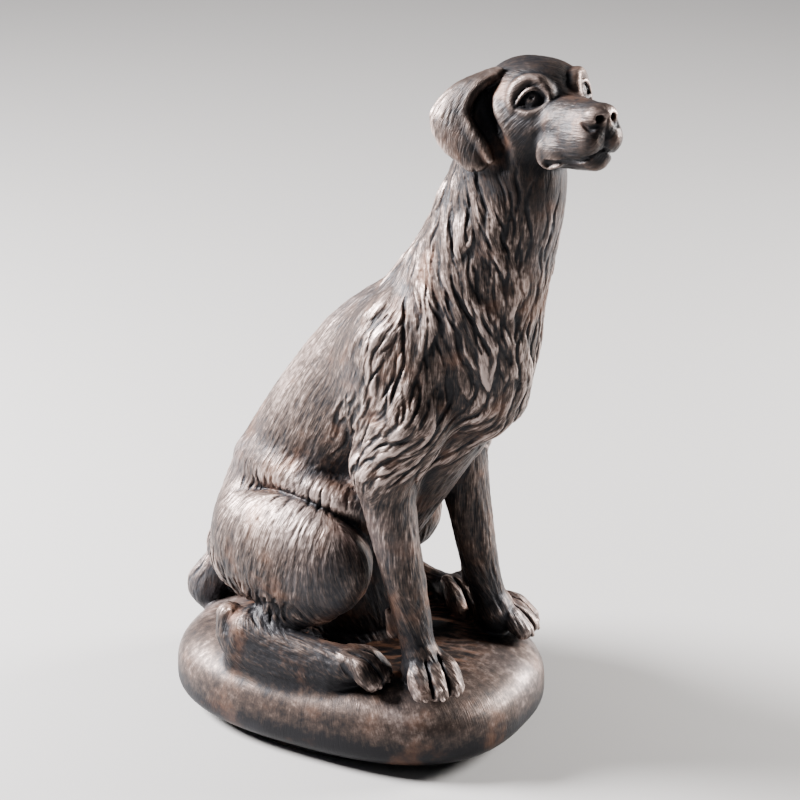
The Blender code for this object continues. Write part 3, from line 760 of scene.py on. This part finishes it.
# The hair's way on the skin: the combed way, turned to the nearest locks, laid flat on the
# skin. On the stone it runs outward and down.
def hairWays(points, outs, locks):
    cell, low, size = spread["cell"], np.array(spread["low"]), np.array(spread["size"])
    grid = np.zeros(tuple(size) + (3,))
    path = np.concatenate([lock[0] for lock in locks])
    along = unit(np.concatenate([np.gradient(lock[0], axis=0) for lock in locks]))
    i, j, k = np.clip(((path - low) / cell).round().astype(int), 1, size - 2).T
    np.add.at(grid, (i, j, k), along)
    for axis in range(3):
        grid = (np.roll(grid, 1, axis) + 2 * grid + np.roll(grid, -1, axis)) / 4
    i, j, k = np.clip(((points - low) / cell).round().astype(int), 0, size - 1).T
    way = unit(coatWay(points)) + spread["strength"] * grid[i, j, k]
    onStone = stoneShare(points)[:, None]
    centred = points - [stone["at"][0], stone["at"][1], 0]
    radial = centred * [1, 1, 0] / np.maximum(np.linalg.norm(centred[:, :2], axis=1), 1)[:, None]
    way = way * (1 - onStone) + (radial * 0.8 - [0, 0, 0.8]) * onStone
    return unit(way - outs * (way * outs).sum(1)[:, None])


# How far each point belongs to the stone: one on its surface, nothing 3.5 mm out of it
def stoneShare(points):
    x, y, z = points.T
    away = pebble()[2](x, y, z, 0)
    return np.clip(1 - (away - 0.5) / 3, 0, 1) * (z < stone["top"] + 2)


# Hair strokes are drawn in patches. A patch has its own direction and a random place in the
# pattern, and its weight falls to nothing at its border, where another set's patch shows. A
# face that crosses a border has no weight at all.
def hairPatches(points, outs, ways, faces, seed):
    dice = np.random.default_rng(seed)
    centres = dice.choice(len(points), finish["cells"], replace=False)
    turned = np.column_stack([points, outs * finish["cellTurn"]]).astype(np.float32)
    nearest, margin = [], []
    for rows in np.array_split(turned, 40):
        gap = (rows**2).sum(1)[:, None] - 2 * rows @ turned[centres].T + (turned[centres] ** 2).sum(1)
        order = np.argpartition(gap, 1, axis=1)[:, :2]
        two = np.sqrt(np.maximum(np.take_along_axis(gap, order, 1), 0))
        flip = two[:, 0] > two[:, 1]
        nearest.append(np.where(flip, order[:, 1], order[:, 0]))
        margin.append(np.abs(two[:, 0] - two[:, 1]))
    nearest, margin = np.concatenate(nearest), np.concatenate(margin)
    pick = centres[nearest]
    away = points - points[pick]
    u = (away * ways[pick]).sum(1)
    v = (away * np.cross(outs[pick], ways[pick])).sum(1)
    places = dice.uniform(0, 1000, (finish["cells"], 2))[nearest]
    weight = np.clip(margin / finish["cellBorder"], 0, 1)
    weight = weight * weight * (3 - 2 * weight)
    crossing = (nearest[faces] != nearest[np.roll(faces, 1, axis=1)]).any(1)
    weight[faces[crossing].ravel()] = 0
    return np.column_stack([u + places[:, 0], v + places[:, 1], weight])


# Puts whole arrays of points and faces into a new mesh
def meshFrom(name, points, faces):
    mesh = bpy.data.meshes.new(name)
    corners = faces.shape[1]
    mesh.vertices.add(len(points))
    mesh.vertices.foreach_set("co", points.astype(np.float32).ravel())
    mesh.loops.add(faces.size)
    mesh.loops.foreach_set("vertex_index", faces.astype(np.int32).ravel())
    mesh.polygons.add(len(faces))
    mesh.polygons.foreach_set("loop_start", np.arange(0, faces.size, corners, dtype=np.int32))
    mesh.update(calc_edges=True)
    mesh.validate()
    mesh.shade_smooth()
    return mesh


def readVectors(rows, key):
    values = np.empty(len(rows) * 3, np.float32)
    rows.foreach_get(key, values)
    return values.reshape(-1, 3).astype(float)


# Fewer triangles, most of them where the form turns
def thinOut(mesh):
    triangles = sum(len(p.vertices) - 2 for p in mesh.polygons)
    thick = bpy.data.objects.new("thick", mesh)
    bpy.context.scene.collection.objects.link(thick)
    thin = thick.modifiers.new("thin", "DECIMATE")
    thin.ratio = finish["triangles"] / triangles
    thin.use_collapse_triangulate = True
    seen = thick.evaluated_get(bpy.context.evaluated_depsgraph_get())
    result = bpy.data.meshes.new_from_object(seen)
    bpy.data.objects.remove(thick)
    result.shade_smooth()
    return result


def attribute(mesh, name, rows):
    layer = mesh.attributes.new(name, "FLOAT_VECTOR", "POINT")
    layer.data.foreach_set("vector", rows.astype(np.float32).ravel())


# Cuts a mesh off flat at two heights and closes the cuts
def cutFlat(mesh, low, high):
    shape = bmesh.new()
    shape.from_mesh(mesh)
    for height, way in ((low, -1), (high, 1)):
        whole = shape.verts[:] + shape.edges[:] + shape.faces[:]
        cut = bmesh.ops.bisect_plane(shape, geom=whole, dist=1e-6, plane_co=(0, 0, height),
                                     plane_no=(0, 0, way), clear_outer=True)["geom_cut"]
        edges = [part for part in cut if isinstance(part, bmesh.types.BMEdge)]
        if edges:
            bmesh.ops.triangle_fill(shape, edges=edges, normal=(0, 0, way))
    shape.to_mesh(mesh)
    shape.free()


# One piece of the statue between two heights, shaded with the whole statue's normals so that
# no seam shows
def cutPiece(name, points, faces, layers, low, high):
    heights = points[:, 2][faces]
    near = (heights.max(1) > low) & (heights.min(1) < high)
    used, order = np.unique(faces[near], return_inverse=True)
    mesh = meshFrom(name, points[used], order.reshape(-1, 3))
    for key, rows in layers.items():
        attribute(mesh, key, rows[used])
    cutFlat(mesh, low, high)
    normals = unit(readVectors(mesh.attributes["normals"].data, "vector"))
    mesh.attributes.remove(mesh.attributes["normals"])
    points = (readVectors(mesh.vertices, "co") + finish["frameShift"]) * 0.001
    mesh.vertices.foreach_set("co", points.astype(np.float32).ravel())
    mesh.update()
    mesh.shade_smooth()
    mesh.normals_split_custom_set_from_vertices(normals)
    piece = bpy.data.objects.new(name, mesh)
    bpy.context.scene.collection.objects.link(piece)
    say("%s: %d triangles" % (name, len(mesh.polygons)))
    return piece


def makeStatue():
    clay, locks = sculpt()
    points, quads = clay.skin()
    outs = clay.outward(points, clay.step)
    ways = hairWays(points, outs, locks)
    height = strokes(points, ways, finish["hairLength"], finish["hairWidth"], 3)
    points = points + outs * (height * finish["hairDepth"] * hairShare(points))[:, None]
    say("hair strokes on %d points" % len(points))

    mesh = thinOut(meshFrom("labradorClay", points, quads))
    points = readVectors(mesh.vertices, "co")
    faces = np.empty(len(mesh.polygons) * 3, np.int32)
    mesh.loops.foreach_get("vertex_index", faces)
    faces = faces.reshape(-1, 3)
    say("%d triangles" % len(mesh.polygons))

    layers = {"normals": readVectors(mesh.vertex_normals, "vector")}
    outs = clay.outward(points, 2 * clay.step)
    ways = hairWays(points, outs, locks)
    for i, name in enumerate(("hairA", "hairB", "hairC")):
        layers[name] = hairPatches(points, outs, ways, faces, 20 + i)
    cut = clay.read(points)
    bare = points - outs * cut[:, None]
    hollows = [clay.blurred(reach).read(bare) / reach for reach in finish["hollows"]]
    layers["hollow"] = np.column_stack(hollows)
    layers["place"] = np.column_stack([cut / finish["hairDepth"], stoneShare(points), headShare(points)])
    say("surface attributes")
    under, over = finish["ends"]
    cuts = [under] + finish["cuts"] + [over]
    return [cutPiece(name, points, faces, layers, low, high)
            for name, low, high in zip(finish["pieces"], cuts, cuts[1:])]


# How deep the hair strokes are cut: fully on the body, less on the head, not on the stone
def hairShare(points):
    return (1 - 0.6 * headShare(points)) * (1 - stoneShare(points)) * (points[:, 2] > rim["height"] + 1)


# How far each point belongs to the head: one inside 80 mm of its middle, nothing beyond 92 mm
def headShare(points):
    away = np.linalg.norm(points - onHead(-10, 0, -12), axis=1)
    return np.clip((92 - away) / 12, 0, 1)


# A shader socket that takes part in sums: an operator adds its Math node
class Wire:
    def __init__(self, tree, socket):
        self.tree, self.socket = tree, socket

    def node(self, kind, settings=None, output=0, **inputs):
        node = self.tree.nodes.new(kind)
        for key, value in (settings or {}).items():
            setattr(node, key, value)
        for key, value in inputs.items():
            socket = node.inputs[int(key[1:])] if key[1:].isdigit() else node.inputs[key.replace("_", " ")]
            if isinstance(value, Wire):
                self.tree.links.new(value.socket, socket)
            else:
                socket.default_value = value
        return Wire(self.tree, node.outputs[output])

    def math(self, operation, a, b=0.0):
        return self.node("ShaderNodeMath", {"operation": operation}, i0=a, i1=b)

    def __add__(self, other):
        return self.math("ADD", self, other)

    def __mul__(self, other):
        return self.math("MULTIPLY", self, other)

    def __sub__(self, other):
        return self.math("SUBTRACT", self, other)

    def __rsub__(self, other):
        return self.math("SUBTRACT", other, self)

    def __truediv__(self, other):
        return self.math("DIVIDE", self, other)

    __radd__ = __add__

    # From 0 to 1 between two values, smoothed, and held at the ends
    def between(self, low, high):
        settings = {"interpolation_type": "SMOOTHSTEP"}
        return self.node("ShaderNodeMapRange", settings, Value=self, From_Min=low, From_Max=high)

    # The three numbers of a vector
    def split(self):
        return [self.node("ShaderNodeSeparateXYZ", output=i, Vector=self) for i in range(3)]


# The colours, and the sizes of the noises as their scales, the larger the finer
patina = {
    "dark": (0.004, 0.004, 0.006, 1),  # what stays in the recesses
    "umber": (0.030, 0.021, 0.018, 1),
    "brown": (0.078, 0.055, 0.046, 1),
    "brushed": (0.400, 0.315, 0.285, 1),  # dry-brushed on what stands out
    "rust": (0.170, 0.080, 0.045, 1),
    "slate": (0.060, 0.063, 0.074, 1),
    "blotches": 26.0,
    "clouds": 9.0,
    "flecks": 150.0,
    "grit": 900.0,
    "fineHair": 0.8,  # strokes across a millimetre
    "broadHair": 0.32,
    "fineLength": 0.085,  # the same along the hair
    "broadLength": 0.05,
    "waveTurn": (0.584, 0.811),  # turns the stone's waves so that they run across the picture
    "waveScale": (38.0, 170.0),
    "roughness": 0.54,
    "metallic": 0.6,
    "bump": 0.9,
    "bumpHeight": 0.0009,
}

# Painted light and shade on the dog: by how much its colour is made lighter (painted light) or darker
# (painted shade), and the stretches of depth (y) and height (z) in metres over which that comes in
paintedLightRegions = [
    (0.7, [("y", -0.04, 0.06), ("z", 0.24, 0.33)]),  # back
    (0.4, [("z", 0.17, 0.205), ("z", 0.236, 0.222), ("y", -0.06, -0.03)]),  # top of the thighs
    (-0.45, [("z", 0.19, 0.12)]),  # lower legs and paws
    (-0.2, [("z", 0.29, 0.2), ("y", 0.0, -0.06)]),  # upper forelegs
    (-0.12, [("y", -0.04, -0.12), ("z", 0.27, 0.32)]),  # breast and neck
    (-0.15, [("y", -0.19, -0.24)]),  # muzzle
]


def newMaterial(name):
    material = bpy.data.materials.new(name)
    material.use_nodes = True
    return material, material.node_tree.nodes["Principled BSDF"]


def antiqueBronze():
    material, shader = newMaterial("antiqueBronze")
    tree = material.node_tree
    start = Wire(tree, None)

    def mix(share, a, b):
        return start.node("ShaderNodeMix", {"data_type": "RGBA"}, output=2, i0=share, i6=a, i7=b)

    def parts(name):
        return start.node("ShaderNodeAttribute", {"attribute_name": name}, output=1).split()

    def noise(vector, scale, detail=2.0, rough=0.5):
        return start.node("ShaderNodeTexNoise", Vector=vector, Scale=scale, Detail=detail, Roughness=rough)

    # Strokes of hair: a noise drawn out along each patch, the three sets mixed by their weights
    def hairStrokes(across, along, seed):
        total, weights = 0.0, 0.0
        for name in ("hairA", "hairB", "hairC"):
            u, v, w = parts(name)
            place = u.node("ShaderNodeCombineXYZ", X=u * along, Y=v * across, Z=seed)
            total = (noise(place, 1.0, 2.0, 0.55) - 0.5) * w + total
            weights = w * w + weights
        return total / weights.math("SQRT", weights + 0.02)

    tight, middle, wide = parts("hollow")
    cut, stoneMask, headMask = parts("place")
    position = start.node("ShaderNodeTexCoord", output=3)
    blotch = noise(position, patina["blotches"], 4.0, 0.6)
    cloud = noise(position, patina["clouds"], 3.0, 0.55)
    fleck = noise(position, patina["flecks"], 3.0, 0.65) - 0.5
    fine = hairStrokes(patina["fineHair"], patina["fineLength"], 0.0)
    broad = hairStrokes(patina["broadHair"], patina["broadLength"], 7.0)

    # What stands out is brushed light and what lies low stays dark, at three sizes of form
    brushAndPaintedLight = (tight * 3.0 + middle * 2.7) * (1.0 - headMask * 0.45) + wide * 0.4
    brushAndPaintedLight = brushAndPaintedLight + cut * 0.12 + (blotch - 0.5) * 0.9 - 0.06
    hairy = (fine * 2.2 + broad * 1.0) * (1.0 - headMask * 0.6) * (1.0 - stoneMask * 0.75)
    brushAndPaintedLight = brushAndPaintedLight + hairy + fleck * (0.9 + stoneMask * 0.9) + stoneMask * (cloud - 0.45) * 1.6

    # The stone's top has wavy strokes across the picture, and painted shade darkens its foot under the bulge
    x, y, z = position.split()
    (s, c), (slow, quick) = patina["waveTurn"], patina["waveScale"]
    along, across = x * s - y * c, x * c + y * s
    wave = start.node("ShaderNodeCombineXYZ", X=along * slow, Y=across * quick + cloud * 9.0)
    onTop = stoneMask * z.between(0.070, 0.079)
    wave = (noise(wave, 1.0, 2.0, 0.5) - 0.5) * onTop
    brushAndPaintedLight = brushAndPaintedLight + wave * 5.0 - onTop * 0.25 - z.between(0.042, 0.012) * 1.4 + stoneMask * 0.15

    # Painted light on the dog's back and the top of its thighs, and painted shade on its head, legs and chest
    paintedLightShade = headMask * -0.15
    for amount, stretches in paintedLightRegions:
        share = amount
        for axis, low, high in stretches:
            share = {"y": y, "z": z}[axis].between(low, high) * share
        paintedLightShade = paintedLightShade + share
    # The brushing from the forms now also carries this painted light and shade, with random clouds
    brushAndPaintedLight = brushAndPaintedLight + (paintedLightShade + (cloud - 0.5) * 0.9) * (1.0 - stoneMask)

    # From the darkest up, then rust in blotches, in the waves and in hollows, and slate
    colour = patina["dark"]
    for share, name in (
        (brushAndPaintedLight.between(-0.5, 0.1), "umber"),
        (brushAndPaintedLight.between(-0.05, 0.55), "brown"),
        (brushAndPaintedLight.between(0.3, 1.25) * 0.9, "brushed"),
        (blotch.between(0.5, 0.72) * 0.35, "rust"),
        (wave.between(0.0, 0.12) * 0.7, "rust"),
        (wide.between(-0.05, -0.3) * brushAndPaintedLight.between(-0.6, 0.2) * 0.5, "rust"),
        (cloud.between(0.5, 0.7) * 0.35, "slate"),
    ):
        colour = mix(share, colour, patina[name])
    tree.links.new(colour.socket, shader.inputs["Base Color"])

    rough = patina["roughness"] - brushAndPaintedLight.between(-0.6, 0.9) * 0.12 + (blotch - 0.5) * 0.12
    tree.links.new(rough.socket, shader.inputs["Roughness"])
    shader.inputs["Metallic"].default_value = patina["metallic"]

    height = (fine * 0.6 + broad * 0.3) * (1.0 - stoneMask * 0.5) + wave * 1.2
    height = height + noise(position, patina["grit"]) * 0.1
    bump = start.node("ShaderNodeBump", Strength=patina["bump"], Distance=patina["bumpHeight"], Height=height)
    tree.links.new(bump.socket, shader.inputs["Normal"])
    return material


studio = {
    "floor": (0.27, 0.27, 0.27, 1),
    "floorSize": 12.0,
    "floorRoughness": 0.7,
    "world": (0.80, 0.84, 0.92, 1),
    "worldLight": 0.06,
    "aim": (0, 0, 0.33),  # what the lights point at
    "lights": [  # name, place, size, power and colour
        ("leftLight", (-0.75, 1.6, 1.4), 0.8, 540, (1.0, 0.96, 0.95)),
        ("rightLight", (1.5, -1.15, 0.85), 0.8, 205, (1.0, 0.95, 0.91)),
        ("frontFill", (-1.3, -1.1, 2.1), 1.2, 3, (0.95, 0.97, 1.0)),
    ],
}


def makeFloor():
    bpy.ops.mesh.primitive_plane_add(size=studio["floorSize"])
    floor = bpy.context.active_object
    floor.name = "paleFloor"
    material, shader = newMaterial("paleFloor")
    shader.inputs["Base Color"].default_value = studio["floor"]
    shader.inputs["Roughness"].default_value = studio["floorRoughness"]
    floor.data.materials.append(material)


camera = {"azimuth": -55.0, "elevation": 24.0, "lens": 135.0, "sensor": 36.0,
          "place": (-1.9274, -1.3935, 1.355)}


# Puts a camera or a light in its place, looking the given way
def setUp(name, data, place, way):
    thing = bpy.data.objects.new(name, data)
    thing.location = place
    thing.rotation_mode = "QUATERNION"
    thing.rotation_quaternion = way.to_track_quat("-Z", "Y")
    bpy.context.scene.collection.objects.link(thing)
    return thing


# The way back from the object to the camera, from its angle round and its angle up
def cameraBack():
    around, up = radians(camera["azimuth"]), radians(camera["elevation"])
    return Vector((sin(around) * cos(up), -cos(around) * cos(up), sin(up)))


def makeCamera():
    data = bpy.data.cameras.new("camera")
    data.lens = camera["lens"]
    data.sensor_width = camera["sensor"]
    bpy.context.scene.camera = setUp("camera", data, camera["place"], -cameraBack())


def makeLight(name, place, size, power, colour):
    data = bpy.data.lights.new(name, "AREA")
    data.shape = "DISK"
    data.size = size
    data.energy = power
    data.color = colour
    setUp(name, data, place, Vector(studio["aim"]) - Vector(place))


def lightStudio():
    world = bpy.data.worlds.new("studio")
    world.use_nodes = True
    world.node_tree.nodes["Background"].inputs[0].default_value = studio["world"]
    world.node_tree.nodes["Background"].inputs[1].default_value = studio["worldLight"]
    bpy.context.scene.world = world
    for light in studio["lights"]:
        makeLight(*light)


makeFloor()
makeCamera()
lightStudio()
bronze = antiqueBronze()
for piece in makeStatue():
    piece.data.materials.append(bronze)
    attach(piece, "root")
    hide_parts("labrador_statue")
say("statue finished")
